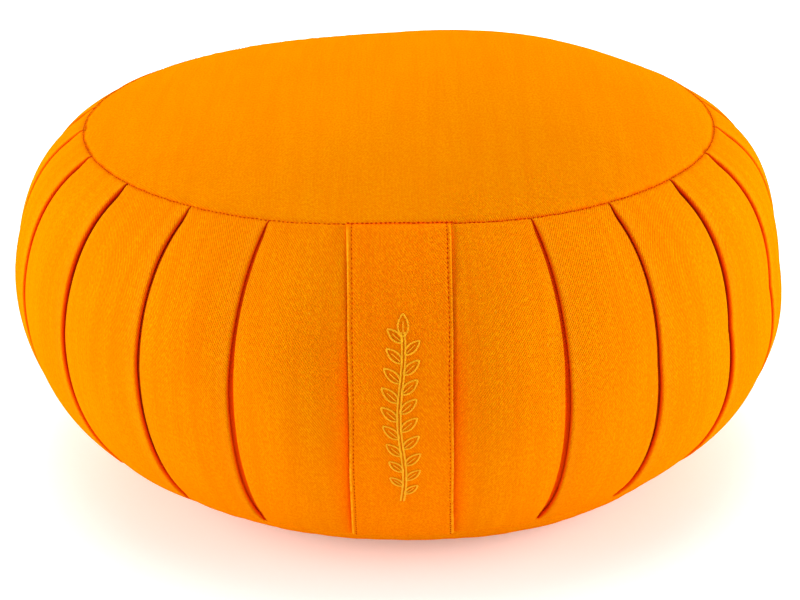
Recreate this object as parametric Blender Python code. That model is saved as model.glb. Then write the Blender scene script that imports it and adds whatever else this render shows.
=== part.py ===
"""Zafu meditation cushion: a firm round floor cushion with a knife-pleated side.

The cushion rests on its base at z = 0, with +Z up and the front band facing -Y.
"""

import math

import bmesh
import bpy

# Driving dimensions, in metres and degrees.
OUTER_RADIUS = 0.175  # to the crests of the pleats
SIDE_REACH = 0.0615  # how far the side bulges past the ring it curves about
MIDDLE_HEIGHT = 0.0823  # where the cushion is widest
RISE_ABOVE = 0.0718  # half axis of the side's curve over the widest line
FALL_BELOW = 0.0786  # half axis of the side's curve under the widest line
TOP_SEAM_RADIUS = 0.140
BOTTOM_SEAM_RADIUS = 0.1503
CROWN_HEIGHT = 0.0182  # rise of the top panel over its seam
CROWN_POWER = 2.6
FLAT_BASE_RADIUS = 0.1066
BASE_POWER = 2.3

CLOTH = 0.002  # a panel with its turned seam allowance
CLEARANCE = 0.0003  # air between neighbouring pieces
RIM_CLEARANCE = 0.0006  # air round the edge of a round panel

BAND_WIDTH = 0.0394
BAND_HEM = 0.0022  # width of the rounded edge of the band

# Fold lines of the knife pleats, in degrees each side of the front centre.
PLEAT_ANGLES = (21.0, 35.0, 50.6, 66.2, 81.7, 97.0, 112.4, 127.9, 143.4, 159.0)
GAP_ANGLE = 0.8  # the open gap in front of each fold, at the widest line
SWELL_POWER = 0.6  # how quickly the pleats open away from the two seams

# One pleat from front to back: degrees past its fold line, share of the gap
# angle, and how far the surface sinks below the crest of the pleats.
PLEAT_COLUMNS = (
    # past the fold, share of the gap, sink
    (0.0, -1.0, 0.0014),
    (0.0, -0.35, 0.0062),
    (0.05, 0.0, 0.0018),
    (0.5, 0.0, 0.0002),
    (6.5, 0.0, 0.0),
)
# The plain cloth between the first two pleats of the front, lower under the
# band, and that of the back: degrees each side of the centre, and sink.
FRONT_COLUMNS = ((0.0, 0.0024), (4.0, 0.0024), (7.6, 0.0024), (10.6, 0.0008), (15.5, 0.0003))
BACK_COLUMNS = ((172.5, 0.0002), (180.0, 0.0002))

SIDE_ROWS = 16
CROWN_RINGS = (0.3, 0.55, 0.75, 0.9)  # shares of a round panel's radius
BASE_RINGS = (0.25, 0.5, 0.75)  # shares of the way from the flat base to its seam
PANEL_SEGMENTS = 96
BAND_COLUMNS = 6

SAFFRON = (1.0, 0.32, 0.0, 1.0)
SAFFRON_BAND = (0.93, 0.26, 0.0, 1.0)
SAFFRON_TOP = (1.0, 0.29, 0.0, 1.0)
SAFFRON_BASE = (0.95, 0.29, 0.0, 1.0)
CLOTH_ROUGHNESS = 0.9


def clear_scene():
    for obj in list(bpy.data.objects):
        bpy.data.objects.remove(obj, do_unlink=True)


def cloth_material(name, colour):
    material = bpy.data.materials.new(name)
    material.use_nodes = True
    shader = material.node_tree.nodes["Principled BSDF"]
    shader.inputs["Base Color"].default_value = colour
    shader.inputs["Roughness"].default_value = CLOTH_ROUGHNESS
    shader.inputs["Metallic"].default_value = 0.0
    material.diffuse_color = colour
    return material


def finish(name, shape, colour):
    """Turns a bmesh into a named, smooth shaded object with its own material."""
    bmesh.ops.recalc_face_normals(shape, faces=shape.faces)
    mesh = bpy.data.meshes.new(name)
    shape.to_mesh(mesh)
    shape.free()
    mesh.shade_smooth()
    mesh.set_sharp_from_angle(angle=math.radians(40))
    mesh.materials.append(cloth_material(name, colour))
    piece = bpy.data.objects.new(name, mesh)
    bpy.context.scene.collection.objects.link(piece)
    return piece


def side_angle(turn):
    """Angle about the side's ring, from the top seam at 0 to the bottom one at 1."""
    ring_radius = OUTER_RADIUS - SIDE_REACH
    top = math.acos((TOP_SEAM_RADIUS - ring_radius) / SIDE_REACH)
    bottom = -math.acos((BOTTOM_SEAM_RADIUS - ring_radius) / SIDE_REACH)
    return top + (bottom - top) * turn


def side_point(turn, sink=0.0):
    """Radius and height on the side's curve, sunk inwards square to it."""
    angle = side_angle(turn)
    rise = RISE_ABOVE if angle > 0 else FALL_BELOW
    out = math.cos(angle) / SIDE_REACH
    up = math.sin(angle) / rise
    length = math.hypot(out, up)
    radius = OUTER_RADIUS - SIDE_REACH + SIDE_REACH * math.cos(angle) - sink * out / length
    height = MIDDLE_HEIGHT + rise * math.sin(angle) - sink * up / length
    return radius, height


def swell(turn):
    """The pleats are flat where a seam gathers them and open between the seams."""
    return math.sin(math.pi * turn) ** SWELL_POWER


TOP_SEAM_HEIGHT = side_point(0.0)[1]
BOTTOM_SEAM_HEIGHT = side_point(1.0)[1]


def crown_height(radius):
    return TOP_SEAM_HEIGHT + CROWN_HEIGHT * (1 - (radius / TOP_SEAM_RADIUS) ** CROWN_POWER)


def base_height(radius):
    way = max(0.0, (radius - FLAT_BASE_RADIUS) / (BOTTOM_SEAM_RADIUS - FLAT_BASE_RADIUS))
    return BOTTOM_SEAM_HEIGHT * way**BASE_POWER


def base_ring_radii(outer):
    """Rings of the base: the edge of its flat, then the curve up to its seam."""
    steps = [FLAT_BASE_RADIUS + (outer - FLAT_BASE_RADIUS) * share for share in BASE_RINGS]
    return [FLAT_BASE_RADIUS] + steps


def around(radius, degrees, height):
    """A point at an angle from the front centre, which faces -Y."""
    angle = math.radians(degrees)
    return radius * math.sin(angle), -radius * math.cos(angle), height


def pleat_columns():
    """Columns once round: resting angle, shift with the open gap, sink."""
    half = [(angle, 0.0, sink) for angle, sink in FRONT_COLUMNS]
    for fold in PLEAT_ANGLES:
        half += [(fold + past, share * GAP_ANGLE, sink) for past, share, sink in PLEAT_COLUMNS]
    half += [(angle, 0.0, sink) for angle, sink in BACK_COLUMNS]
    other_half = [(-angle, -shift, sink) for angle, shift, sink in half[1:-1]]
    return half + other_half[::-1]


def ring_of(shape, points):
    """A closed loop of edges with a vertex at each point, started from a circle."""
    made = bmesh.ops.create_circle(shape, cap_ends=False, radius=1.0, segments=len(points))
    for vertex, point in zip(made["verts"], points):
        vertex.co = point
    return [edge for edge in shape.edges if edge.verts[0] in made["verts"]]


def next_ring(shape, edges, order, points):
    """Extrudes a loop and moves each new vertex to its point; order follows the loop."""
    made = bmesh.ops.extrude_edge_only(shape, edges=edges)["geom"]
    new_edges = [part for part in made if isinstance(part, bmesh.types.BMEdge)]
    new_vertices = {part for part in made if isinstance(part, bmesh.types.BMVert)}
    new_order = []
    for vertex, point in zip(order, points):
        above = next(
            edge.other_vert(vertex)
            for edge in vertex.link_edges
            if edge.other_vert(vertex) in new_vertices
        )
        above.co = point
        new_order.append(above)
    return new_edges, new_order


def shell_of_rings(rings):
    """A closed body through rings of points, each end closed by a fan of triangles."""
    shape = bmesh.new()
    edges = ring_of(shape, rings[0])
    shape.verts.ensure_lookup_table()
    order = list(shape.verts)
    first_edges = edges
    for points in rings[1:]:
        edges, order = next_ring(shape, edges, order, points)
    for loop in (first_edges, edges):
        cap = bmesh.ops.edgeloop_fill(shape, edges=loop)["faces"]
        bmesh.ops.poke(shape, faces=cap)
    return shape


def round_ring(radius, height, segments=PANEL_SEGMENTS):
    return [around(radius, 360 * step / segments, height) for step in range(segments)]


def pleated_body():
    """The side cloth over the filling, one solid with its crown and its base."""
    columns = pleat_columns()
    rings = []
    recess = CLOTH + CLEARANCE
    rim = TOP_SEAM_RADIUS - CLEARANCE
    for share in CROWN_RINGS + (1.0,):
        radius = rim * share
        height = crown_height(radius) - recess
        rings.append([around(radius, angle, height) for angle, _, _ in columns])
    for row in range(SIDE_ROWS + 1):
        turn = row / SIDE_ROWS
        open_by = swell(turn)
        ring = []
        for angle, shift, sink in columns:
            radius, height = side_point(turn, sink * open_by)
            ring.append(around(radius, angle + shift * open_by, height))
        rings.append(ring)
    rim = BOTTOM_SEAM_RADIUS - CLEARANCE
    radii = base_ring_radii(rim) + [rim]
    for radius in radii[::-1]:
        height = base_height(radius) + recess
        rings.append([around(radius, angle, height) for angle, _, _ in columns])
    return finish("pleated_body", shell_of_rings(rings), SAFFRON)


def top_panel():
    """The round top, crowned by the filling under it."""
    rim = TOP_SEAM_RADIUS - CLEARANCE - RIM_CLEARANCE
    radii = [rim * share for share in CROWN_RINGS + (1.0,)]
    upper = [round_ring(radius, crown_height(radius)) for radius in radii]
    lower = [round_ring(radius, crown_height(radius) - CLOTH) for radius in radii[::-1]]
    return finish("top_panel", shell_of_rings(upper + lower), SAFFRON_TOP)


def bottom_panel():
    """The round base: flat where the cushion rests, then curved up to its seam."""
    rim = BOTTOM_SEAM_RADIUS - CLEARANCE - RIM_CLEARANCE
    radii = base_ring_radii(rim) + [rim]
    lower = [round_ring(radius, base_height(radius)) for radius in radii]
    upper = [round_ring(radius, base_height(radius) + CLOTH) for radius in radii[::-1]]
    return finish("bottom_panel", shell_of_rings(lower + upper), SAFFRON_BASE)


def front_band():
    """The flat strip down the front, from seam to seam, with rounded edges."""
    front_sink = FRONT_COLUMNS[0][1]
    half = BAND_WIDTH / 2
    flat = half - BAND_HEM
    steps = [-flat + 2 * flat * step / BAND_COLUMNS for step in range(BAND_COLUMNS + 1)]
    section = [(x, CLEARANCE) for x in steps]
    section += [(half, CLEARANCE + CLOTH / 2)]
    section += [(x, CLEARANCE + CLOTH) for x in steps[::-1]]
    section += [(-half, CLEARANCE + CLOTH / 2)]
    rings = []
    for row in range(SIDE_ROWS + 1):
        turn = row / SIDE_ROWS
        ring = []
        for x, proud in section:
            radius, height = side_point(turn, front_sink * swell(turn) - proud)
            ring.append((x, -math.sqrt(radius * radius - x * x), height))
        rings.append(ring)
    return finish("front_band", shell_of_rings(rings), SAFFRON_BAND)


clear_scene()
pleated_body()
top_panel()
bottom_panel()
front_band()
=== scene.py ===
import math

import bmesh
import bpy
import numpy as np
from mathutils import Matrix, Quaternion, Vector


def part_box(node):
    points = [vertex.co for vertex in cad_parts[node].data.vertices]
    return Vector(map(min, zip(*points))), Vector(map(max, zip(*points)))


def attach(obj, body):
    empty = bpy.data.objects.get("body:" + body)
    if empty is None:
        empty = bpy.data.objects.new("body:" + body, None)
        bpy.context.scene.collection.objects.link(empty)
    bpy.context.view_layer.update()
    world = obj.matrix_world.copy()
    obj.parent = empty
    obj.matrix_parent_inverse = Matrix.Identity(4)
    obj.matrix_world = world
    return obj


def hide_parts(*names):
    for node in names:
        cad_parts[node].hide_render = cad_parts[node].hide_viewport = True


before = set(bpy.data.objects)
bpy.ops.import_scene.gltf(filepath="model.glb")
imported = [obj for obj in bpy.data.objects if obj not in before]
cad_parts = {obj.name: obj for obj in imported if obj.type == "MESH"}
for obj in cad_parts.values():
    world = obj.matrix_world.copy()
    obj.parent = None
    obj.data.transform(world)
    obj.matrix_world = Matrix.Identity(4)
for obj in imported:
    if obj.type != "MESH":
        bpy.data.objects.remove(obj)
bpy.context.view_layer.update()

# --- Pleated side over the filling -------------------------------------------
# Saffron cotton twill drawn round a hard filling of hulls. Ten knife pleats a
# side turn their folded edges to the front, flat where the two round seams
# gather them and standing a little open between the seams.
body_low, body_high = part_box("pleated_body")
top_low, top_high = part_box("top_panel")
base_low, base_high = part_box("bottom_panel")

OUTER_RADIUS = (body_high[0] - body_low[0]) / 2
RIM_GAP = 0.0009  # from a round panel's edge to its seam line
TOP_SEAM_RADIUS = (top_high[0] - top_low[0]) / 2 + RIM_GAP
BASE_SEAM_RADIUS = (base_high[0] - base_low[0]) / 2 + RIM_GAP
SIDE_REACH = 0.0615  # how far the side bulges past the ring it curves about
RING_RADIUS = OUTER_RADIUS - SIDE_REACH
MIDDLE_HEIGHT = 0.0823
RISE_ABOVE = 0.0718
FALL_BELOW = 0.0786
CROWN_HEIGHT = 0.0182
CROWN_POWER = 2.6
FLAT_BASE_RADIUS = 0.1066
BASE_POWER = 2.3

FOLDS = {  # the gap before each fold, from the front centre round: right side, then left
    1: (
        # degrees at the top seam, half way down, at the bottom seam; mm wide high up, low down
        (21.0, 21.3, 21.1, 1.4, 2.3),
        (35.7, 35.5, 35.1, 1.2, 1.6),
        (51.4, 50.9, 50.3, 1.9, 2.0),
        (67.1, 67.5, 67.2, 2.1, 2.1),
        (82.1, 82.4, 82.1, 1.9, 1.6),
        (97.5, 97.2, 97.6, 1.6, 1.8),
        (112.1, 112.4, 112.0, 1.5, 1.3),
        (128.3, 128.0, 128.4, 1.3, 1.6),
        (143.0, 143.3, 142.9, 1.4, 1.5),
        (159.3, 159.0, 159.2, 1.2, 1.5),
    ),
    -1: (
        (20.9, 21.7, 21.4, 1.3, 2.3),
        (35.6, 36.1, 35.6, 1.3, 1.5),
        (51.7, 52.2, 52.3, 2.0, 1.9),
        (68.2, 68.5, 68.2, 2.2, 2.0),
        (83.3, 83.1, 83.4, 1.8, 1.8),
        (96.8, 97.1, 96.7, 1.7, 1.4),
        (112.7, 112.4, 112.8, 1.4, 1.6),
        (127.6, 127.9, 127.5, 1.5, 1.3),
        (143.5, 143.2, 143.6, 1.2, 1.5),
        (158.8, 159.1, 158.7, 1.3, 1.4),
    ),
}
LIP_RISE = 0.0007  # crest of a fold over the cloth in front of it
NOSE = 0.0010  # radius of a folded edge
TUCK = 0.0005  # radius where the cloth turns in under a fold
POCKET_DEPTHS = (0.0023, 0.0026, 0.0066)  # of the first pleat each side, the second, the rest
POCKET_SHADES = (-1.0, -1.05, -1.65)  # painted shade inside the same pleats
POCKET_LEAN = 0.0026
PANEL_BULGE = 0.0009
HULL_BUMP = 0.00016  # height of each of the waves that the hulls press into a panel
SETTLED = 0.0013  # how far the flanks lie inside their outline where they are widest
RIGHT_FLANK = 0.0016  # further in on the right
FULL_SHOULDER = 0.0016  # how far the side stands out behind the right flank
SLACK_LOW_LEFT = 0.0005
FULL_LOW_RIGHT = 0.0023
SEAM_DIP = 0.0008
SEAM_DIP_WIDTH = 0.0011
SEAM_SHADE_WIDTH = 0.0006
DRAWN_WIDTH = 0.27  # radians each side over which the stiff band straightens the top seam
DRAWN_BACK = 0.0030
DRAWN_UP = 0.0009

BAND_WIDTH = 0.0394
UNDER_BAND = 0.0024  # how far the cloth under the front band is pressed in
# From the band's edge, where the cloth beside it begins to rise and where it is full.
BESIDE_BAND = {1: (-0.0014, 0.0026), -1: (-0.0007, 0.0010)}
BAND_EDGE_SHADE = {1: 0.10, -1: 0.22}  # painted shade in the crease at the band's edge
BESIDE_BAND_SHADE = 0.46  # painted shade beside the lower part of the band
BESIDE_BAND_REACH = 0.0050

TWILL_RIBS = 1250  # in a metre, across the ribs
TWILL_SLANT = math.radians(36)
WARP_YARNS = 2200
WEFT_YARNS = 1900
# Painted shade: the colour inside a pleat, and the darker one deep in it.
PAINTED_PLEAT_SHADE = (0.97, 0.055, 0.0, 1.0)
PAINTED_DEEP_PLEAT_SHADE = (0.30, 0.010, 0.0, 1.0)

PANEL_COLUMNS = 13
SIDE_ROWS = 116
FRONT_MARKS = (0, 6, 11, 15, 17.5, 18.7, 19.4, 20.0, 20.6, 21.2, 21.9, 22.8, 24, 26, 29)  # mm
FRONT_SHARES = (0.12, 0.25, 0.39, 0.53, 0.67, 0.80, 0.91)


def soft_step(value, low, high):
    way = np.clip((value - low) / (high - low), 0.0, 1.0)
    return way * way * (3 - 2 * way)


def hump(value, middle, width):
    """1 at the middle, fading smoothly to 0 on both sides."""
    return np.exp(-(((value - middle) / width) ** 2))


def side_profile(turn):
    """Radius, height and outward direction down the side, seam 0 to seam 1."""
    top = math.acos((TOP_SEAM_RADIUS - RING_RADIUS) / SIDE_REACH)
    bottom = -math.acos((BASE_SEAM_RADIUS - RING_RADIUS) / SIDE_REACH)
    angle = top + (bottom - top) * np.asarray(turn, float)
    rise = np.where(angle > 0, RISE_ABOVE, FALL_BELOW)
    out = np.cos(angle) / SIDE_REACH
    up = np.sin(angle) / rise
    length = np.hypot(out, up)
    radius = RING_RADIUS + SIDE_REACH * np.cos(angle)
    height = MIDDLE_HEIGHT + rise * np.sin(angle)
    return radius, height, out / length, up / length


FINE_TURNS = np.linspace(0, 1, 801)
fine_radius, fine_height, _, _ = side_profile(FINE_TURNS)
FINE_LENGTHS = np.concatenate(
    [[0.0], np.cumsum(np.hypot(np.diff(fine_radius), np.diff(fine_height)))]
)
SIDE_LENGTH = FINE_LENGTHS[-1]
TOP_SEAM_HEIGHT = float(fine_height[0])
BASE_SEAM_HEIGHT = float(fine_height[-1])


def length_at(turn):
    return np.interp(turn, FINE_TURNS, FINE_LENGTHS)


def turn_at(length):
    return np.interp(length, FINE_LENGTHS, FINE_TURNS)


def swell(turn):
    """Pressed flat at both seams, full between them."""
    return np.sin(np.pi * np.clip(turn, 0, 1)) ** 0.6


def closing(turn, reach):
    """1 along a pleat, down to a sliver where each seam holds it shut."""
    near = np.minimum(turn, 1 - turn)
    return 0.22 + 0.78 * np.clip(near / reach, 0, 1) ** 0.8


def seam_dip(turn):
    """How far each round seam draws the cloth in beside it."""
    down = length_at(turn)
    return SEAM_DIP * (hump(down, 0.0, SEAM_DIP_WIDTH) + hump(down, SIDE_LENGTH, SEAM_DIP_WIDTH))


def drawn_in(angle):
    """How much the stiff band straightens the top seam at the front, from 0 to 1."""
    return hump(angle, 0.0, DRAWN_WIDTH)


def from_seam(turn):
    """Distance down the cloth from the nearer of the two round seams."""
    return np.minimum(length_at(turn), SIDE_LENGTH - length_at(turn))


def seam_shade(distance, angle):
    """Painted shade where the cloth is drawn into a round seam, here more and there less."""
    uneven = 0.36 + 0.16 * np.sin(97 * angle) + 0.18 * np.sin(211 * angle + 1) * np.sin(23 * angle)
    over_band = np.exp(-((angle / 0.15) ** 8))
    depth = np.clip(np.maximum(uneven, over_band), 0, 1)
    return hump(distance, 0.0, SEAM_SHADE_WIDTH) * depth


def settled(angle, turn):
    """How far in the cloth lies: the hulls have run together, fuller low on the right."""
    flank = SETTLED * np.sin(angle) ** 2 * (1 + 0.45 * np.sin(angle))
    right_flank = RIGHT_FLANK * np.clip(np.sin(angle), 0, 1) ** 2
    low = SLACK_LOW_LEFT * hump(angle, -0.65, 0.45) - FULL_LOW_RIGHT * hump(angle, 0.95, 0.62)
    shoulder = FULL_SHOULDER * (hump(angle, 2.1, 0.6) + 0.375 * hump(angle, -2.0, 0.5))
    return (
        flank * hump(turn, 0.41, 0.16)
        + right_flank * hump(turn, 0.53, 0.12)
        + low * np.sin(np.pi * np.clip((turn - 0.5) / 0.5, 0, 1)) ** 0.8
        - shoulder * hump(turn, 0.18, 0.12)
    )


def half_ring(side, turn, rng):
    """Angles, sinks, panels, and rubbed cloth and painted shade at the folds, of one half, front to
    back.
    """
    radius = side_profile(turn)[0]
    open_by = swell(turn)
    tip = closing(turn, 0.06)
    deep = closing(turn, 0.05)
    folds = []
    for above, halfway, below, high, low in FOLDS[side]:
        bow = halfway - (above + below) / 2
        wave, phase = rng.uniform(0.03, 0.09), rng.uniform(0, 6.3)
        at = above + (below - above) * turn + 4 * bow * turn * (1 - turn)
        at = at + wave * np.sin(9.0 * turn + phase) * open_by
        near_top = turn / 0.045
        at = at - 0.42 * soft_step(above, 15, 45) * near_top * np.exp(1 - near_top)
        gap = (high + (low - high) * soft_step(turn, 0.2, 0.62)) / 1000 * tip
        gap = gap * (1 + 0.07 * np.sin(21 * turn + phase))
        rise = LIP_RISE * rng.uniform(0.85, 1.3) * tip
        folds.append((np.radians(at) + gap / 2 / radius, gap, rise))

    angles, sinks, panels, wear_and_painted_light = [], [], [], []

    def column(angle, sink, panel, wear_and_painted_light_value):
        angles.append(angle)
        sinks.append(sink)
        panels.append(panel)
        wear_and_painted_light.append(wear_and_painted_light_value + np.zeros_like(turn))

    def uneven(panel_rng, share):
        """Slow rises and hollows where the hulls press on the cloth."""
        total = np.zeros_like(turn)
        for _ in range(3):
            down, across = panel_rng.uniform(6, 17), panel_rng.uniform(2, 6)
            total += np.sin(down * turn + across * share + panel_rng.uniform(0, 6.3))
        return HULL_BUMP * total * open_by

    def panel_end(fold, panel):
        """The cloth turns in and runs back under the next fold."""
        angle, gap, rise = fold
        nose, tuck = NOSE * deep, TUCK * tip
        depth = POCKET_DEPTHS[min(panel, 2)] * deep
        lean = POCKET_LEAN * deep
        front = (
            (-gap - 1.6 * tuck, rise),
            (-gap - 0.9 * tuck, rise + 0.08 * tuck),
            (-gap - 0.35 * tuck, rise + 0.36 * tuck),
            (-gap - 0.05 * tuck, rise + 1.0 * tuck),
            (-gap + 0.1 * tuck, rise + 2.0 * tuck),
            (-gap * 0.5 + 0.35 * lean, 0.66 * depth + rise),
            (0.8 * lean, depth + rise),
        )
        back = (
            (1.25 * lean, depth + rise),
            (0.85 * lean + 0.3 * nose, 0.62 * depth + rise),
            (0.75 * nose, 2.3 * nose),
            (0.16 * nose, 1.55 * nose),
            (0.0, nose),
            (0.13 * nose, 0.5 * nose),
            (0.5 * nose, 0.13 * nose),
            (1.2 * nose, 0.0),
            (2.4 * nose, 0.0),
        )
        # Painted shade inside the pleat and on the inner side of its folded edge; the few positive
        # values are rubbed cloth.
        dark = POCKET_SHADES[min(panel, 2)]
        front_wear_and_shade = (0.3, 0.1, 0.0, -0.4, -1.0, dark, dark)
        back_wear_and_shade = (dark, dark, dark, (dark - 1) / 2, -0.9, -0.55, -0.12, 0.3, 0.5)
        for (along, sink), wear_and_painted_light_value in zip(front, front_wear_and_shade):
            column(angle + along / radius, sink, panel, wear_and_painted_light_value)
        for (along, sink), wear_and_painted_light_value in zip(back, back_wear_and_shade):
            column(angle + along / radius, sink, panel + 1, wear_and_painted_light_value)

    # The plain front, pressed in under the band and full beside it.
    first_angle, first_gap, first_rise = folds[0]
    end = first_angle - (first_gap + 1.6 * TUCK * tip) / radius
    marks = [np.arcsin(mark / 1000 / radius) for mark in FRONT_MARKS]
    marks += [marks[-1] + (end - marks[-1]) * share for share in FRONT_SHARES]
    panel_rng = np.random.default_rng(40 + side)
    first_phase, second_phase = panel_rng.uniform(0, 6.3), panel_rng.uniform(0, 6.3)
    # Painted shade beside the band: a narrow line in the crease at its edge and a broad one beside its
    # lower part.
    crease = BAND_EDGE_SHADE[side]
    beside_low = BESIDE_BAND_SHADE * soft_step(turn, 0.22, 0.45) * (1 - 0.5 * soft_step(turn, 0.8, 1.0))
    for angle in marks:
        across = radius * np.sin(angle)
        from_band = across - BAND_WIDTH / 2
        beside = soft_step(from_band, *BESIDE_BAND[side])
        share = np.clip(across / (radius * np.sin(end)), 0, 1)
        bulge = 2.2 * PANEL_BULGE * np.sin(np.pi * np.clip((share - 0.35) / 0.65, 0, 1))
        full = first_rise * soft_step(share, 0.55, 1.0) - bulge
        wobble = 0.00022 * np.sin(11 * turn + first_phase + 3 * share)
        wobble = wobble + 0.00014 * np.sin(23 * turn + second_phase)
        pressed = UNDER_BAND * (1 - beside)
        close = crease * np.max(hump(from_band, 0.0006, 0.0010))
        near = beside_low * hump(np.maximum(from_band, 0.0), 0.0, BESIDE_BAND_REACH)
        column(angle, (pressed + (full + wobble) * beside) * open_by, 0, -close - near)
    panel_end(folds[0], 0)

    for number in range(1, len(folds) + 1):
        start = folds[number - 1][0] + 2.4 * NOSE * deep / radius
        last = number == len(folds)
        if last:
            end, rise = np.full_like(turn, math.pi), 0.0
        else:
            angle, gap, rise = folds[number]
            end = angle - (gap + 1.6 * TUCK * tip) / radius
        panel_rng = np.random.default_rng(100 * (side + 2) + number)
        seed = panel_rng.integers(0, 10**6)
        count = PANEL_COLUMNS if not last else PANEL_COLUMNS // 2
        for step in range(1, count + 1):
            share = step / (count + (0 if last else 1))
            bulge = PANEL_BULGE * math.sin(math.pi * share) if not last else PANEL_BULGE * share
            wear_and_painted_light_value = 0.12 if step == 1 else 0.0
            sink = rise * share**1.6 - bulge * open_by
            sink = sink + uneven(np.random.default_rng(seed), share)
            column(start + (end - start) * share, sink, number, wear_and_painted_light_value)
        if not last:
            panel_end(folds[number], number)
    return angles, sinks, panels, wear_and_painted_light


def ring_of_columns(turn):
    """Every column once round, from the back centre by the left to the right."""
    right = half_ring(1, turn, np.random.default_rng(11))
    left = half_ring(-1, turn, np.random.default_rng(23))
    angles = [-a for a in left[0][::-1]] + right[0][1:]
    sinks = list(left[1][::-1]) + right[1][1:]
    wear_and_painted_light = list(left[3][::-1]) + right[3][1:]
    panels = [-p - 1 for p in left[2][::-1]] + right[2][1:]
    sinks = [sink + settled(angle, turn) for sink, angle in zip(sinks, angles)]
    sinks[-1] = sinks[0] = (sinks[-1] + sinks[0]) / 2
    return np.array(angles).T, np.array(sinks).T, np.array(panels), np.array(wear_and_painted_light).T


def on_side(angle, turn, sink):
    """A point on the side, sunk inwards square to it and drawn back over the band."""
    radius, height, out, up = side_profile(turn)
    near_seam = drawn_in(angle) * hump(turn, 0.0, 0.16)
    radius = radius - sink * out - DRAWN_BACK * near_seam
    height = height - sink * up + DRAWN_UP * near_seam
    return np.stack(
        np.broadcast_arrays(radius * np.sin(angle), -radius * np.cos(angle), height), axis=-1
    )


def sheet_of_points(points):
    """A grid of faces laid through points[row, column], each vertex numbered."""
    rows, columns = points.shape[:2]
    shape = bmesh.new()
    bmesh.ops.create_grid(shape, x_segments=columns - 1, y_segments=rows - 1, size=1.0)
    marks = np.array([vertex.co[:2] for vertex in shape.verts])
    column = np.rint((marks[:, 0] + 1) / 2 * (columns - 1)).astype(int)
    row = np.rint((marks[:, 1] + 1) / 2 * (rows - 1)).astype(int)
    layer = shape.verts.layers.int.new("place")
    for vertex, r, c in zip(shape.verts, row, column):
        vertex.co = points[r, c]
        vertex[layer] = int(r * columns + c)
    return shape, layer


def cloth_piece(name, points, across, down, wear_and_painted_light, weld=1e-6):
    """Faces through points, with the cloth's own measure as a UV map in metres.

    across[c][row] holds the measures at the two sides of the faces in column c,
    so that the weave can start afresh in each panel.
    """
    rows, columns = points.shape[:2]
    shape, layer = sheet_of_points(points)
    cloth = shape.loops.layers.uv.new("cloth")
    wear_and_painted_light_value = shape.verts.layers.float.new("wear_and_painted_light")
    for face in shape.faces:
        places = [loop.vert[layer] for loop in face.loops]
        left = min(place % columns for place in places)
        for loop, place in zip(face.loops, places):
            r, c = divmod(place, columns)
            loop[cloth].uv = (across[left][r, c - left], down[r, c])
    for vertex in shape.verts:
        r, c = divmod(vertex[layer], columns)
        vertex[wear_and_painted_light_value] = float(wear_and_painted_light[r, c])
    bmesh.ops.remove_doubles(shape, verts=shape.verts, dist=weld)
    bmesh.ops.recalc_face_normals(shape, faces=shape.faces)
    mesh = bpy.data.meshes.new(name)
    shape.to_mesh(mesh)
    shape.free()
    mesh.shade_smooth()
    piece = bpy.data.objects.new(name, mesh)
    bpy.context.scene.collection.objects.link(piece)
    return piece


RUBBED_FOLD = (0.90, 0.33, 0.01, 1.0)
LINT = (0.95, 0.46, 0.03, 1.0)


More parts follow.
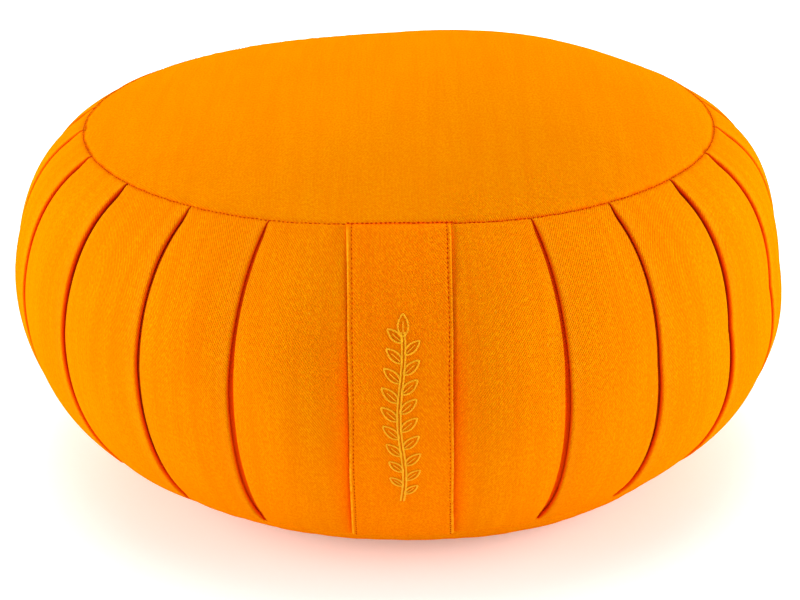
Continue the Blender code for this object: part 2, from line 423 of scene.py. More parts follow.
def twill(name, colour, shade, streaks=1.0, leaning=1.0, faded_and_highlit=RUBBED_FOLD, fading_and_highlight=0.35):
    """Matt cotton twill: fine diagonal ribs, slubs down the warp, rubbed folds, painted shade in the
    pleats.

    The vertex attribute is 1 on rubbed cloth (with a painted highlight on the band's edge), -1 for
    painted shade inside a pleat and -2 for darker painted shade deep in it.
    """
    material = bpy.data.materials.new(name)
    material.use_nodes = True
    nodes, links = material.node_tree.nodes, material.node_tree.links
    shader = nodes["Principled BSDF"]
    shader.inputs["Roughness"].default_value = 0.9
    shader.inputs["Specular IOR Level"].default_value = 0.0
    shader.inputs["Sheen Weight"].default_value = 0.24
    shader.inputs["Sheen Roughness"].default_value = 0.4
    shader.inputs["Sheen Tint"].default_value = (1.0, 0.44, 0.0, 1.0)

    def math_node(operation, *values):
        node = nodes.new("ShaderNodeMath")
        node.operation = operation
        for socket, value in zip(node.inputs, values):
            if isinstance(value, (int, float)):
                socket.default_value = value
            else:
                links.new(value, socket)
        return node.outputs[0]

    def mixed(factor, first, second):
        node = nodes.new("ShaderNodeMix")
        node.data_type = "RGBA"
        for number, value in ((0, factor), (6, first), (7, second)):
            if isinstance(value, (float, tuple)):
                node.inputs[number].default_value = value
            else:
                links.new(value, node.inputs[number])
        return node.outputs[2]

    def noise(vector, scale=1.0, detail=2.0, roughness=0.5):
        node = nodes.new("ShaderNodeTexNoise")
        node.inputs["Scale"].default_value = scale
        node.inputs["Detail"].default_value = detail
        node.inputs["Roughness"].default_value = roughness
        links.new(vector, node.inputs["Vector"])
        return node.outputs["Fac"]

    def spread(value, low, high, to_low=0.0, to_high=1.0):
        node = nodes.new("ShaderNodeMapRange")
        node.inputs["From Min"].default_value = low
        node.inputs["From Max"].default_value = high
        node.inputs["To Min"].default_value = to_low
        node.inputs["To Max"].default_value = to_high
        links.new(value, node.inputs["Value"])
        return node.outputs[0]

    uv = nodes.new("ShaderNodeUVMap")
    uv.uv_map = "cloth"
    parts = nodes.new("ShaderNodeSeparateXYZ")
    links.new(uv.outputs[0], parts.inputs[0])
    u, v = parts.outputs[0], parts.outputs[1]

    def stretched(scale_u, scale_v):
        joined = nodes.new("ShaderNodeCombineXYZ")
        links.new(math_node("MULTIPLY", u, scale_u), joined.inputs[0])
        links.new(math_node("MULTIPLY", v, scale_v), joined.inputs[1])
        return joined.outputs[0]

    # Ribs of the twill, broken into the floats of single yarns.
    wander = math_node("MULTIPLY", noise(stretched(420, 420)), 2.6)
    steep_u = leaning * TWILL_RIBS * math.cos(TWILL_SLANT)
    steep_v = TWILL_RIBS * math.sin(TWILL_SLANT)
    diagonal = math_node("MULTIPLY_ADD", u, steep_u, math_node("MULTIPLY", v, steep_v))
    rib = math_node("SINE", math_node("MULTIPLY_ADD", diagonal, 2 * math.pi, wander))
    warp = math_node("SINE", math_node("MULTIPLY", u, WARP_YARNS * 2 * math.pi))
    weft = math_node("SINE", math_node("MULTIPLY", v, WEFT_YARNS * 2 * math.pi))
    weave = math_node("MULTIPLY_ADD", math_node("MULTIPLY", warp, weft), 0.30, rib)

    # Colour: darker in the valleys between the ribs, a painted shade, with slubs and streaks down the
    # warp.
    slub = noise(stretched(880, 30), detail=3.0, roughness=0.6)
    grain = noise(stretched(1150, 620), detail=2.0, roughness=0.7)
    streak = noise(stretched(210, 9))
    cloud = noise(stretched(34, 34), detail=3.0, roughness=0.6)
    pale = (colour[0] * 1.05, colour[1] * 1.25, 0.0, 1.0)
    tone = mixed(math_node("MULTIPLY", spread(slub, 0.36, 0.64), 0.65 * streaks), colour, pale)
    tone = mixed(math_node("MULTIPLY", spread(streak, 0.42, 0.64), 0.38 * streaks), tone, shade)
    # Painted shade in the valleys of the weave.
    tone = mixed(math_node("MULTIPLY", spread(weave, -1.0, 0.6, 1.0, 0.0), 0.72), tone, shade)
    tone = mixed(math_node("MULTIPLY", spread(grain, 0.38, 0.60), 0.75), tone, shade)
    tone = mixed(math_node("MULTIPLY", spread(cloud, 0.35, 0.7), 0.22), tone, shade)

    # The odd pale knot of lint, the rubbed folds (on the band's edge also a painted highlight), and
    # painted shade inside a pleat.
    knots = nodes.new("ShaderNodeTexVoronoi")
    links.new(stretched(310, 120), knots.inputs["Vector"])
    knots.inputs["Scale"].default_value = 1.0
    some = spread(noise(stretched(90, 90)), 0.62, 0.67)
    knot = math_node("MULTIPLY", spread(knots.outputs["Distance"], 0.04, 0.10, 0.4, 0.0), some)
    tone = mixed(knot, tone, LINT)
    wear_and_painted_light = nodes.new("ShaderNodeAttribute")
    wear_and_painted_light.attribute_name = "wear_and_painted_light"
    patchy = spread(noise(stretched(420, 420), detail=3.0), 0.3, 0.62, 0.0, fading_and_highlight)
    worn_and_highlit_mix = math_node("MULTIPLY", spread(wear_and_painted_light.outputs["Fac"], 0.0, 1.0), patchy)
    tone = mixed(worn_and_highlit_mix, tone, faded_and_highlit)
    # Painted shade: red inside the pleats, in the seams and beside the band, near black deep in the
    # pleats.
    tone = mixed(spread(wear_and_painted_light.outputs["Fac"], -1.0, 0.0, 1.0, 0.0), tone, PAINTED_PLEAT_SHADE)
    tone = mixed(spread(wear_and_painted_light.outputs["Fac"], -2.0, -1.0, 1.0, 0.0), tone, PAINTED_DEEP_PLEAT_SHADE)
    links.new(tone, shader.inputs["Base Color"])
    links.new(spread(cloud, 0.3, 0.7, 0.84, 0.95), shader.inputs["Roughness"])

    fuzz = noise(stretched(2600, 2600), roughness=0.7)
    raised = math_node("MULTIPLY_ADD", slub, 0.9, weave)
    raised = math_node("MULTIPLY_ADD", math_node("ADD", fuzz, grain), 0.8, raised)
    bump = nodes.new("ShaderNodeBump")
    bump.inputs["Strength"].default_value = 0.8
    bump.inputs["Distance"].default_value = 0.00012
    links.new(raised, bump.inputs["Height"])
    slow = nodes.new("ShaderNodeBump")
    slow.inputs["Strength"].default_value = 0.4
    slow.inputs["Distance"].default_value = 0.0006
    links.new(cloud, slow.inputs["Height"])
    links.new(slow.outputs[0], bump.inputs["Normal"])
    links.new(bump.outputs[0], shader.inputs["Normal"])
    return material


SAFFRON = (0.89, 0.290, 0.0, 1.0)
SAFFRON_SHADE = (0.80, 0.158, 0.0, 1.0)
side_cloth = twill("side_cloth_twill", SAFFRON, SAFFRON_SHADE)

# Rows from the crown hidden under the top panel, down the side, to the centre
# of the base hidden over the bottom panel. The rows are closer near the seams.
even_turns = np.linspace(0.0, 1.0, SIDE_ROWS + 1)
side_turns = 0.55 * even_turns + 0.45 * (0.5 - 0.5 * np.cos(np.pi * even_turns))
ring_angles, ring_sinks, ring_panels, ring_wear_and_painted_shade = ring_of_columns(side_turns)
ring_sinks = ring_sinks + seam_dip(side_turns)[:, None]
side_points = on_side(ring_angles, side_turns[:, None], ring_sinks)
side_points[:, -1] = side_points[:, 0]


def hidden_rings(edge_row, inward):
    """Rings from an edge of the side to a pole, tucked in under a round panel."""
    rings = []
    for share, drop in ((0.985, 0.0022), (0.93, 0.0035), (0.6, 0.0035), (0.0, 0.0035)):
        ring = edge_row * np.array([share, share, 1.0])
        ring[:, 2] = edge_row[:, 2].mean() - inward * drop
        rings.append(ring)
    return rings


crown_rings = hidden_rings(side_points[0], 1)[::-1]
under_rings = hidden_rings(side_points[-1], -1)
body_points = np.stack(crown_rings + list(side_points) + under_rings)
hidden = len(crown_rings)
# Painted shade along both round seams.
ring_wear_and_painted_shade = ring_wear_and_painted_shade - seam_shade(from_seam(side_turns)[:, None], ring_angles)
body_wear_and_painted_shade = np.pad(np.clip(ring_wear_and_painted_shade, -2, 1), ((hidden, hidden), (0, 0)), mode="edge")
steps = np.linalg.norm(np.diff(body_points, axis=1), axis=2)
along_ring = np.concatenate([np.zeros((len(body_points), 1)), np.cumsum(steps, axis=1)], axis=1)
TURNED_IN = 0.003  # cloth past each seam, as the weave is measured
down_side = np.concatenate(
    [[-TURNED_IN] * hidden, length_at(side_turns), [SIDE_LENGTH + TURNED_IN] * hidden]
)
down_side = np.repeat(down_side[:, None], body_points.shape[1], axis=1)

body_across = []
for column_number in range(body_points.shape[1] - 1):
    panel = ring_panels[min(column_number + 1, len(ring_panels) - 1)]
    members = np.flatnonzero(ring_panels == panel)
    centre = along_ring[:, members].mean(axis=1, keepdims=True)
    handed = 1.0 if panel >= 0 else -1.0
    own = (along_ring[:, column_number : column_number + 2] - centre) * handed
    body_across.append(own + 0.37 * (panel % 7) + 0.2)  # each panel shows other yarns

body = cloth_piece("pleated_side_and_filling", body_points, body_across, down_side, body_wear_and_painted_shade)
body.data.materials.append(side_cloth)
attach(body, "root")
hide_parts("pleated_body")

# --- Round top panel -----------------------------------------------------------
# A disc of the same twill, domed by the filling and turned under at its edge,
# where a plain seam joins it to the gathered tops of the pleats.
DISC_RINGS = 46
DISC_COLUMNS = 360
PANEL_CLOTH = 0.0016
RIM_ROLL = 0.0022  # width of the cloth that rolls down into the seam
RIM_DROP = 0.0010
PLEAT_TUG = 0.00035  # how far the stacked cloth of a pleat draws the seam in
PUCKER = 0.00016


def crown_height(radius):
    return TOP_SEAM_HEIGHT + CROWN_HEIGHT * (1 - (radius / TOP_SEAM_RADIUS) ** CROWN_POWER)


def base_height(radius):
    way = np.clip((radius - FLAT_BASE_RADIUS) / (BASE_SEAM_RADIUS - FLAT_BASE_RADIUS), 0, None)
    return BASE_SEAM_HEIGHT * way**BASE_POWER


def fold_pull(angle, seam):
    """How much each pleat tugs at a seam: 0 is the top one, 2 the bottom one."""
    total = np.zeros_like(angle)
    for side, folds in FOLDS.items():
        for fold in folds:
            total += hump(angle, side * math.radians(fold[seam] + 0.5), math.radians(0.9))
    return total


def disc_points(radius_shares, angles, height_of, seam_radius, sign, uneven):
    """The outer face of a round panel, as rings of points."""
    share, angle = np.meshgrid(radius_shares, angles, indexing="ij")
    pull = fold_pull(angle, 0 if sign > 0 else 2)
    drawn = drawn_in(angle) * (1 if sign > 0 else 0)
    wander = 0.00018 * np.sin(31 * angle) + 0.0001 * np.sin(83 * angle + 1)
    rim = seam_radius - 0.0003 - PLEAT_TUG * pull + wander - DRAWN_BACK * drawn
    radius = share * rim
    inside = rim - radius
    roll = RIM_DROP * np.clip(1 - inside / RIM_ROLL, 0, 1) ** 2
    height = height_of(share * seam_radius) - sign * roll + uneven(radius, angle)
    height = height + DRAWN_UP * drawn * share**6
    pucker = PUCKER * np.exp(-inside / 0.006) * np.sin(120 * angle + 2 * np.sin(7 * angle))
    height = height + sign * (pucker * (inside > 1e-5) - 0.0003 * pull * np.exp(-inside / 0.003))
    return np.stack([radius * np.sin(angle), -radius * np.cos(angle), height], axis=-1)


def round_panel(name, height_of, seam_radius, sign, uneven, material):
    """A disc of cloth with a real edge, its weave straight across the disc."""
    shares = 1 - (1 - np.linspace(0, 1, DISC_RINGS)) ** 1.6
    angles = np.linspace(-math.pi, math.pi, DISC_COLUMNS + 1)
    outer = disc_points(shares, angles, height_of, seam_radius, sign, uneven)
    outer[:, -1] = outer[:, 0]
    inner = outer[::-3].copy()  # every third ring, from the edge to the pole
    inner[:, :, 2] -= sign * PANEL_CLOTH
    inner[0, :, :2] *= 0.997
    points = np.concatenate([outer, inner])
    across = [points[:, c : c + 2, 0] for c in range(points.shape[1] - 1)]
    # Painted shade along the seam at the disc's rim.
    shade = seam_shade(((1 - shares) * seam_radius)[:, None], angles[None, :])
    shade = np.concatenate([shade, np.zeros((len(inner), len(angles)))])
    piece = cloth_piece(name, points, across, points[:, :, 1], -shade, weld=2e-6)
    piece.data.materials.append(material)
    return piece


RISE_ON_RIGHT = 0.0043
FALL_ON_LEFT = 0.0022


def crown_unevenness(radius, angle):
    """Slow rises and hollows, and a crown a little higher on the right."""
    x, y = radius * np.sin(angle), -radius * np.cos(angle)
    tilt = x / 0.07
    lopsided = np.where(x > 0, RISE_ON_RIGHT, FALL_ON_LEFT) * 2 * tilt / (1 + tilt**2)
    fade = 1 - (radius / TOP_SEAM_RADIUS) ** 8
    slow = 0.0007 * np.sin(24 * x + 17 * y + 0.6) + 0.0006 * np.sin(-31 * x + 26 * y + 2.1)
    fine = 0.00022 * np.sin(71 * x - 40 * y) + 0.0002 * np.sin(55 * y + 63 * x + 1.0)
    return (slow + fine + lopsided) * fade


# A little less red than the side cloth: painted shade, as the top takes more of the light.
TOP_SAFFRON = (0.82, 0.284, 0.0, 1.0)
TOP_SHADE = (0.76, 0.163, 0.0, 1.0)
top_cloth = twill("top_cloth_twill", TOP_SAFFRON, TOP_SHADE, streaks=0.7)
top = round_panel("top_panel_cloth", crown_height, TOP_SEAM_RADIUS, 1, crown_unevenness, top_cloth)
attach(top, "root")
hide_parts("top_panel")

# --- Round bottom panel ----------------------------------------------------------
# The same disc underneath, pressed flat where the cushion rests and turned up
# to its own plain seam.
BASE_SLACK_LEFT = 0.0005
BASE_FULL_RIGHT = 0.0024


def base_unevenness(radius, angle):
    """The turned-up rim of the base, fuller on the right of the front."""
    lifted = np.clip((radius - FLAT_BASE_RADIUS) / 0.02, 0, 1)
    way = np.clip((radius - FLAT_BASE_RADIUS) / (BASE_SEAM_RADIUS - FLAT_BASE_RADIUS), 0, 1)
    fuller = BASE_SLACK_LEFT * hump(angle, -0.65, 0.5) - BASE_FULL_RIGHT * hump(angle, 0.65, 0.5)
    fuller = fuller * 6.75 * way**2 * (1 - way)  # most of it two thirds of the way up
    return 0.0002 * lifted * (1 + np.sin(9 * angle + 1.3)) + fuller


base_cloth = twill("base_cloth_twill", SAFFRON, SAFFRON_SHADE, streaks=0.6)
base = round_panel("bottom_panel_cloth", base_height, BASE_SEAM_RADIUS, -1, base_unevenness, base_cloth)
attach(base, "root")
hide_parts("bottom_panel")

# --- Front band -------------------------------------------------------------------
# A straight strip of twill over the join of the side cloth. Its long edges are
# folded under and topstitched, its ends are caught in the two round seams.
BAND_STITCH_IN = {-1: 0.0019, 1: 0.0015}  # from each folded edge to its topstitching
BAND_THICK = 0.0021
BAND_ROWS = 150
STITCH_DIP = 0.00036
EDGE_ROUND = 0.0007
BAND_LOW = 0.0004  # how far the band's underside sinks into the pressed cloth
BAND_ENDS_IN = 0.001


def band_height(across):
    """How far the band's face stands over the cloth under it."""
    half = BAND_WIDTH / 2
    edge = half - np.abs(across)
    rounded = BAND_THICK * np.sqrt(np.clip(1 - np.clip(1 - edge / EDGE_ROUND, 0, 1) ** 2, 0, 1))
    stitch_in = np.where(np.asarray(across) < 0, BAND_STITCH_IN[-1], BAND_STITCH_IN[1])
    dip = STITCH_DIP * hump(edge, stitch_in, 0.0006)
    return rounded - dip - 0.0003 * soft_step(edge, 0.0022, 0.012)


def band_point(across, turn, over=0.0):
    """A point on the band's face; over lifts it off the cloth."""
    turn = np.asarray(turn, float)
    across = np.asarray(across, float)
    wave = 0.00012 * np.sin(14 * turn + 60 * across) + 0.00008 * np.sin(37 * turn + 2)
    ends = soft_step(from_seam(turn), 0.0, 0.005)
    thin = 0.25 + 0.75 * ends
    under = UNDER_BAND * swell(turn) + seam_dip(turn)
    sink = under - band_height(across) * thin - wave * ends - over
    return on_side(np.arcsin(across / side_profile(turn)[0]), turn, sink)


def band_edge_drift(turn, side):
    """The folded edge is not quite ruler straight, and the band widens a little on the right."""
    wander = 0.00018 * np.sin(7 * turn + side) + 0.0001 * np.sin(19 * turn + 2 * side)
    return wander + (-0.0006 + 0.0012 * turn if side > 0 else -0.0002)


# Columns from the middle of the band, in mm: few over its flat, many by the stitches and edge.
FLAT_MARKS = (0, 2.5, 5, 7.5, 10, 12, 13.8, 15.2, 16.2, 16.7)
EDGE_MARKS = (17.1, 17.4, 17.7, 18.1, 18.5, 18.8, 19.1, 19.35, 19.55, 19.66, 19.7)
half_marks = np.array(FLAT_MARKS + EDGE_MARKS) / 1000
band_marks = np.concatenate([-half_marks[:0:-1], half_marks])
band_turns = np.linspace(0.0, 1.0, BAND_ROWS + 1)
face_rows = []
for turn in band_turns:
    drift = np.where(band_marks < 0, band_edge_drift(turn, -1), band_edge_drift(turn, 1))
    drift = drift * soft_step(np.abs(band_marks), 0.008, 0.016)
    at = band_marks + drift
    face = band_point(band_marks, turn)
    face[:, 0] = at
    pressed = UNDER_BAND * swell(turn) + seam_dip(turn) + BAND_LOW
    back = on_side(np.arcsin(at[::-1] / side_profile(turn)[0]), turn, pressed)
    face_rows.append(np.concatenate([face, back[1:-1], face[:1]]))
band_points = np.stack(face_rows)
centres = band_points.mean(axis=1, keepdims=True).repeat(band_points.shape[1], axis=1)
band_points = np.concatenate([centres[:1], band_points, centres[-1:]])  # closed at both ends
band_measure = np.concatenate(
    [[-BAND_ENDS_IN], length_at(band_turns), [SIDE_LENGTH + BAND_ENDS_IN]]
)
band_down = np.repeat(band_measure[:, None], band_points.shape[1], axis=1)
band_across = [band_points[:, c : c + 2, 0] for c in range(band_points.shape[1] - 1)]

BAND_SAFFRON = (0.93, 0.280, 0.0, 1.0)
BAND_SHADE = (0.83, 0.144, 0.0, 1.0)
# Paler hem edge: rubbed cloth, and partly a painted highlight where the edge catches the light.
RUBBED_AND_HIGHLIT_HEM = (0.98, 0.46, 0.01, 1.0)
band_cloth = twill("band_cloth_twill", BAND_SAFFRON, BAND_SHADE, 0.6, -1.0, RUBBED_AND_HIGHLIT_HEM, 0.75)
band_angles = np.arcsin(band_points[:, :, 0] / OUTER_RADIUS)
from_end = from_seam(np.concatenate([[0.0], band_turns, [1.0]]))[:, None]
# The band's edge painted paler, partly rubbed cloth and partly a painted highlight; painted shade where
# its ends meet the round seams.
band_edge_rub_and_highlight = 0.9 * soft_step(np.abs(band_points[:, :, 0]), 0.0186, 0.0194)
band_edge_rub_and_highlight = band_edge_rub_and_highlight * soft_step(from_end, 0.002, 0.006)
band_wear_and_painted_light = band_edge_rub_and_highlight - seam_shade(from_end, band_angles)
band = cloth_piece("front_band_cloth", band_points, band_across, band_down, band_wear_and_painted_light)
band.data.materials.append(band_cloth)
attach(band, "root")
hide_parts("front_band")

# --- Stitching --------------------------------------------------------------------
# Orange sewing thread: a row sunk in the top seam, a row inside each folded edge
# of the band, and the row that closes the bottom seam.
THREAD = 0.00048
STITCH_LENGTH = 0.0012
STITCH_PITCH = 0.0018
SUNK_IN_TOP = 0.00045
SUNK_IN_BASE = 0.0010
SUNK_OVER_BAND = 0.0001  # the folded band fills the seam, so the stitches stay up there
THICKER_OVER_BAND = 1.4
SUNK_IN_HEM = 0.00002


def thread_material(name, colour, darker, roughness, gloss, twist):
    """Twisted thread: fine slanting plies and a little variation in the dye."""
    material = bpy.data.materials.new(name)
    material.use_nodes = True
    nodes, links = material.node_tree.nodes, material.node_tree.links
    shader = nodes["Principled BSDF"]
    shader.inputs["Roughness"].default_value = roughness
    shader.inputs["Sheen Weight"].default_value = gloss
    shader.inputs["Sheen Tint"].default_value = (1.0, 0.42, 0.01, 1.0)
    shader.inputs["Specular IOR Level"].default_value = gloss * 0.7
    shader.inputs["Specular Tint"].default_value = (1.0, 0.6, 0.05, 1.0)
    place = nodes.new("ShaderNodeTexCoord")
    patches = nodes.new("ShaderNodeTexNoise")
    patches.inputs["Scale"].default_value = 900.0
    links.new(place.outputs["Object"], patches.inputs["Vector"])
    tint = nodes.new("ShaderNodeMix")
    tint.data_type = "RGBA"
    tint.inputs[6].default_value = colour
    tint.inputs[7].default_value = tuple(c * darker for c in colour[:3]) + (1.0,)
    links.new(patches.outputs["Fac"], tint.inputs[0])
    links.new(tint.outputs[2], shader.inputs["Base Color"])
    plies = nodes.new("ShaderNodeTexWave")
    plies.inputs["Scale"].default_value = twist
    plies.bands_direction = "DIAGONAL"
    links.new(place.outputs["Object"], plies.inputs["Vector"])
    bump = nodes.new("ShaderNodeBump")
    bump.inputs["Strength"].default_value = 0.4
    bump.inputs["Distance"].default_value = 0.00005
    links.new(plies.outputs["Fac"], bump.inputs["Height"])
    links.new(bump.outputs[0], shader.inputs["Normal"])
    return material


def lay_thread(shape, start, end, normal, thick, flat=0.7):
    """One stitch: a rounded length of thread that lies between two points."""
    start, end, normal = Vector(start), Vector(end), Vector(normal).normalized()
    along = end - start
    length = along.length
    along.normalize()
    side = normal.cross(along).normalized()
    up = along.cross(side)
    turn = Matrix((along, side, up)).transposed().to_4x4()
    size = Matrix.Diagonal((length / 2, thick / 2, thick * flat / 2, 1.0))
    place = Matrix.Translation((start + end) / 2) @ turn @ size
    bmesh.ops.create_icosphere(shape, subdivisions=1, radius=1.0, matrix=place)


def stitched_piece(name, shape, material):
    mesh = bpy.data.meshes.new(name)
    shape.to_mesh(mesh)
    shape.free()
    mesh.shade_smooth()
    piece = bpy.data.objects.new(name, mesh)
    bpy.context.scene.collection.objects.link(piece)
    piece.data.materials.append(material)
    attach(piece, "root")
    return piece


SEWING_ORANGE = (0.66, 0.030, 0.0, 1.0)
sewing_thread = thread_material("orange_sewing_thread", SEWING_ORANGE, 0.62, 0.8, 0.02, 5200.0)
rng = np.random.default_rng(5)


def seam_row(name, seam_radius, seam_height, sign):
    """A ring of stitches sunk between a round panel and the side: sign 1 on top, -1 below."""
    shape = bmesh.new()
    count = int(2 * math.pi * seam_radius / STITCH_PITCH)
    for step in range(count):
        angle = 2 * math.pi * (step + rng.uniform(-0.08, 0.08)) / count
        length = STITCH_LENGTH * rng.uniform(0.75, 1.4)
        from_front = (angle + math.pi) % (2 * math.pi) - math.pi
        drawn = float(drawn_in(from_front)) if sign > 0 else 0.0
        radius = seam_radius + rng.uniform(-0.00012, 0.00012) + 0.0001 - DRAWN_BACK * drawn
        in_front = sign > 0 and abs(from_front) < math.pi / 2
        over_band = in_front and abs(radius * math.sin(angle)) < BAND_WIDTH / 2
        sunk = SUNK_IN_TOP if sign > 0 else SUNK_IN_BASE
        if over_band:
            sunk = SUNK_OVER_BAND
        sunk += rng.uniform(-0.00012, 0.00015)
        height = seam_height - sign * sunk + DRAWN_UP * drawn
        spin = length / 2 / radius
        start, end = (
            (radius * math.sin(angle + turn), -radius * math.cos(angle + turn), height)
            for turn in (-spin, spin)
        )
        thick = THREAD * (THICKER_OVER_BAND if over_band else 1)
        lay_thread(shape, start, end, (math.sin(angle), -math.cos(angle), sign), thick)
    return stitched_piece(name, shape, sewing_thread)


top_row = seam_row("top_seam_stitches", TOP_SEAM_RADIUS, TOP_SEAM_HEIGHT, 1)
base_row = seam_row("bottom_seam_stitches", BASE_SEAM_RADIUS, BASE_SEAM_HEIGHT, -1)


def band_normal(across, turn):
    """The way that the band faces, for a thread that lies on it."""
    radius, _, out, up = side_profile(turn)
    slant = math.asin(across / float(radius))
    return (float(out) * math.sin(slant), -float(out) * math.cos(slant), float(up))


shape = bmesh.new()
for side in (-1, 1):
    count = int(SIDE_LENGTH / STITCH_PITCH)
    for step in range(count):
        down = (step + 0.5) * STITCH_PITCH
        half = STITCH_LENGTH * rng.uniform(0.8, 1.05) / 2
        across = side * (BAND_WIDTH / 2 - BAND_STITCH_IN[side] + rng.uniform(-0.00012, 0.00012))
        ends = []
        for length in (down - half, down + half):
            turn = float(turn_at(length))
            ends.append(band_point(across + band_edge_drift(turn, side), turn, -SUNK_IN_HEM))
        lay_thread(shape, ends[0], ends[1], band_normal(across, float(turn_at(down))), THREAD)
band_rows = stitched_piece("front_band_topstitching", shape, sewing_thread)

# --- Embroidered sprig --------------------------------------------------------------
# A leafy sprig in golden satin stitch up the middle of the band: a stem of two
# cords, paired slanting leaves and a bud. Each leaf is a corded outline and a
# short rib, with the twill bare between them.
SPRIG_TOP = 0.035  # down the band from the top seam to the bud
SPRIG_LENGTH = 0.080
SPRIG_SWAY = 0.0010
SPRIG_CENTRE = 0.0001
LEAF_LENGTH = 0.0084
LEAF_WIDTH = 0.0036
LEAF_PAIRS = 9
CORD_WIDTH = 0.0009
STEM_APART = 0.0013
GOLD_PITCH = 0.00036
GOLD_THREAD = 0.00046
GOLD_RAISED = 0.0002  # from the cloth to the middle of a stitch
GOLD_SLANT = 0.6  # how far a stitch leans along its cord, for each step across
STEM_STEPS = 44
LEAF_STEPS = 9
LEAF_LEAN = math.radians(47)
FIRST_LEAF = 0.16  # share of the sprig's length down to the first pair
LEAVES_REACH = 0.76
PAIR_OFFSET = 0.0022  # from a pair's middle, down to its right leaf and up to its left one


def sprig_middle(down):
    """The stem sways one and a half times on its way down."""
    share = (down - SPRIG_TOP) / SPRIG_LENGTH
    return SPRIG_CENTRE + SPRIG_SWAY * math.sin(3 * math.pi * share)


def on_band(across, down):
    turn = float(turn_at(down))
    return band_point(across, turn, GOLD_RAISED), band_normal(across, turn)


def gold_stitch(shape, start, end):
    """A stitch between two places on the band, each across and down it."""
    (first, normal), (second, _) = on_band(*start), on_band(*end)
    lay_thread(shape, first, second, normal, GOLD_THREAD, flat=0.8)


def corded_line(shape, points, width):
    """Short slanting stitches packed along a line, like a cord."""
    for (x0, y0), (x1, y1) in zip(points, points[1:]):
        length = math.hypot(x1 - x0, y1 - y0)
        count = max(1, int(length / GOLD_PITCH))
        way = ((x1 - x0) / length, (y1 - y0) / length)
        for step in range(count):
            share = (step + 0.5) / count
            x, y = x0 + (x1 - x0) * share, y0 + (y1 - y0) * share
            reach = width / 2 * rng.uniform(0.85, 1.1)
            lean = reach * GOLD_SLANT
            side_x, side_y = way[0] * lean - way[1] * reach, way[1] * lean + way[0] * reach
            gold_stitch(shape, (x - side_x, y - side_y), (x + side_x, y + side_y))


def leaf_outline(root, lean, length, width, hand):
    """One edge of a leaf from its root to its tip, as places on the band."""
    across_way, down_way = math.sin(lean), -math.cos(lean)
    points = []
    for step in range(LEAF_STEPS + 1):
        share = step / LEAF_STEPS
        bow = hand * width / 2 * math.sin(math.pi * share**0.85) ** 0.8
        across = root[0] + across_way * length * share - down_way * bow
        down = root[1] + down_way * length * share + across_way * bow
        points.append((across, down))
    return points


def corded_leaf(shape, root, lean, length, width):
    """A leaf drawn as two satin-stitched edges and a short rib."""
    for hand in (-1, 1):
        corded_line(shape, leaf_outline(root, lean, length, width, hand), CORD_WIDTH)
    middle_line = leaf_outline(root, lean, length, 0.0, 1)
    corded_line(shape, [middle_line[step] for step in (1, 3, 5, 6)], CORD_WIDTH * 0.5)


shape = bmesh.new()
under_bud = LEAF_LENGTH * 0.8
stem_downs = [
    SPRIG_TOP + under_bud + (SPRIG_LENGTH - under_bud) * step / STEM_STEPS
    for step in range(STEM_STEPS + 1)
]
for hand in (-1, 1):
    one_cord = [(sprig_middle(down) + hand * STEM_APART / 2, down) for down in stem_downs]
    corded_line(shape, one_cord, CORD_WIDTH)
for pair in range(LEAF_PAIRS):
    share = pair / (LEAF_PAIRS - 1)
    middle_down = SPRIG_TOP + SPRIG_LENGTH * (FIRST_LEAF + LEAVES_REACH * share)
    grow = 0.72 + 0.28 * math.sin(math.pi * (0.2 + 0.7 * share))
    for hand in (-1, 1):
        down = middle_down + PAIR_OFFSET * hand
        root = (sprig_middle(down) + hand * 0.0005, down)
        corded_leaf(shape, root, hand * LEAF_LEAN, LEAF_LENGTH * grow, LEAF_WIDTH * grow)
bud_root = (sprig_middle(SPRIG_TOP + LEAF_LENGTH), SPRIG_TOP + LEAF_LENGTH)
corded_leaf(shape, bud_root, 0.0, LEAF_LENGTH, LEAF_WIDTH * 1.1)

GOLD = (1.0, 0.47, 0.010, 1.0)
golden_thread = thread_material("golden_embroidery_thread", GOLD, 0.85, 0.38, 1.0, 4200.0)
sprig = stitched_piece("embroidered_sprig", shape, golden_thread)

# --- Studio: floor, lights and camera ------------------------------------------------
# A pale floor, a large soft light on each side and one behind, a weaker one
# overhead, and a camera in front of the band that looks down at the cushion.
scene = bpy.context.scene
scene.view_settings.view_transform = "Standard"

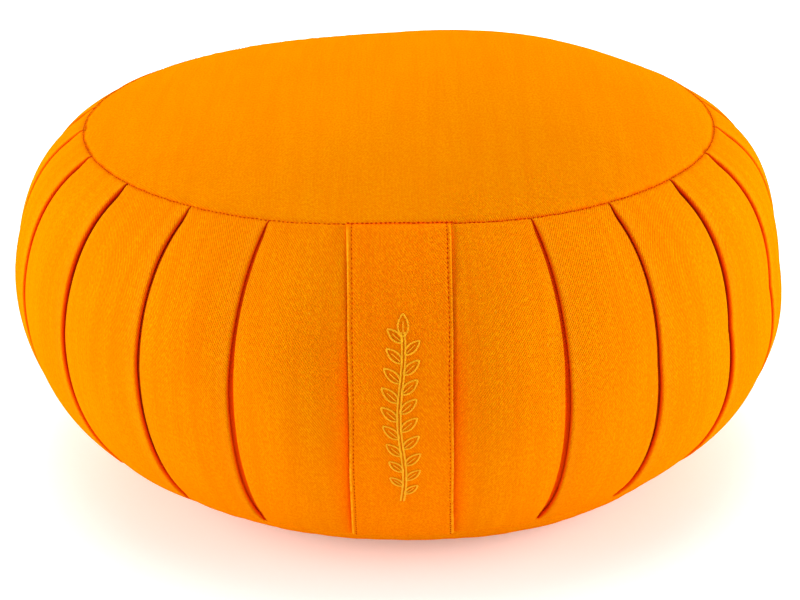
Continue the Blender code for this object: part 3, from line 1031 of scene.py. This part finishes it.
shape = bmesh.new()
bmesh.ops.create_grid(shape, x_segments=1, y_segments=1, size=4.0)
mesh = bpy.data.meshes.new("pale_floor")
shape.to_mesh(mesh)
shape.free()
floor = bpy.data.objects.new("pale_floor", mesh)
scene.collection.objects.link(floor)
floor_paint = bpy.data.materials.new("pale_floor_paint")
floor_paint.use_nodes = True
floor_shader = floor_paint.node_tree.nodes["Principled BSDF"]
floor_shader.inputs["Base Color"].default_value = (0.94, 0.965, 0.97, 1.0)
floor_shader.inputs["Roughness"].default_value = 0.9
floor_shader.inputs["Emission Color"].default_value = (0.96, 1.0, 1.0, 1.0)
floor_shader.inputs["Emission Strength"].default_value = 0.22
floor.data.materials.append(floor_paint)


def soft_light(name, place, target, size, watts):
    light = bpy.data.lights.new(name, "AREA")
    light.shape = "RECTANGLE"
    light.size, light.size_y = size
    light.energy = watts
    lamp = bpy.data.objects.new(name, light)
    lamp.location = place
    lamp.rotation_euler = (Vector(target) - Vector(place)).to_track_quat("-Z", "Y").to_euler()
    lamp.visible_camera = False
    scene.collection.objects.link(lamp)


AIMED_AT = (0.0, 0.0, 0.08)  # the middle of the cushion
soft_light("left_softbox", (-1.2, -0.13, 0.34), AIMED_AT, (1.2, 0.6), 17.0)
soft_light("right_softbox", (1.2, -0.13, 0.34), AIMED_AT, (1.2, 0.6), 17.0)
soft_light("back_softbox", (0.0, 1.4, 0.50), AIMED_AT, (1.8, 0.6), 19.0)
soft_light("overhead_light", (0.0, 0.2, 1.7), AIMED_AT, (1.2, 1.2), 14.0)

world = bpy.data.worlds.new("studio_white")
scene.world = world
world.use_nodes = True
world.node_tree.nodes["Background"].inputs["Color"].default_value = (1.0, 0.99, 0.975, 1.0)
world.node_tree.nodes["Background"].inputs["Strength"].default_value = 0.45

CAMERA_TARGET = Vector((-0.0001, 0.0, 0.0556))
CAMERA_DISTANCE = 0.8013
CAMERA_ELEVATION = math.radians(23.81)
CAMERA_TILT = math.radians(0.51)
camera_data = bpy.data.cameras.new("studio_camera")
camera_data.sensor_width = 36.0
camera_data.lens = 76.42
camera = bpy.data.objects.new("studio_camera", camera_data)
away = Vector((0.0, -math.cos(CAMERA_ELEVATION), math.sin(CAMERA_ELEVATION)))
camera.location = CAMERA_TARGET + away * CAMERA_DISTANCE
facing = (-away).to_track_quat("-Z", "Y")
camera.rotation_euler = (facing @ Quaternion((0.0, 0.0, 1.0), -CAMERA_TILT)).to_euler()
scene.collection.objects.link(camera)
scene.camera = camera
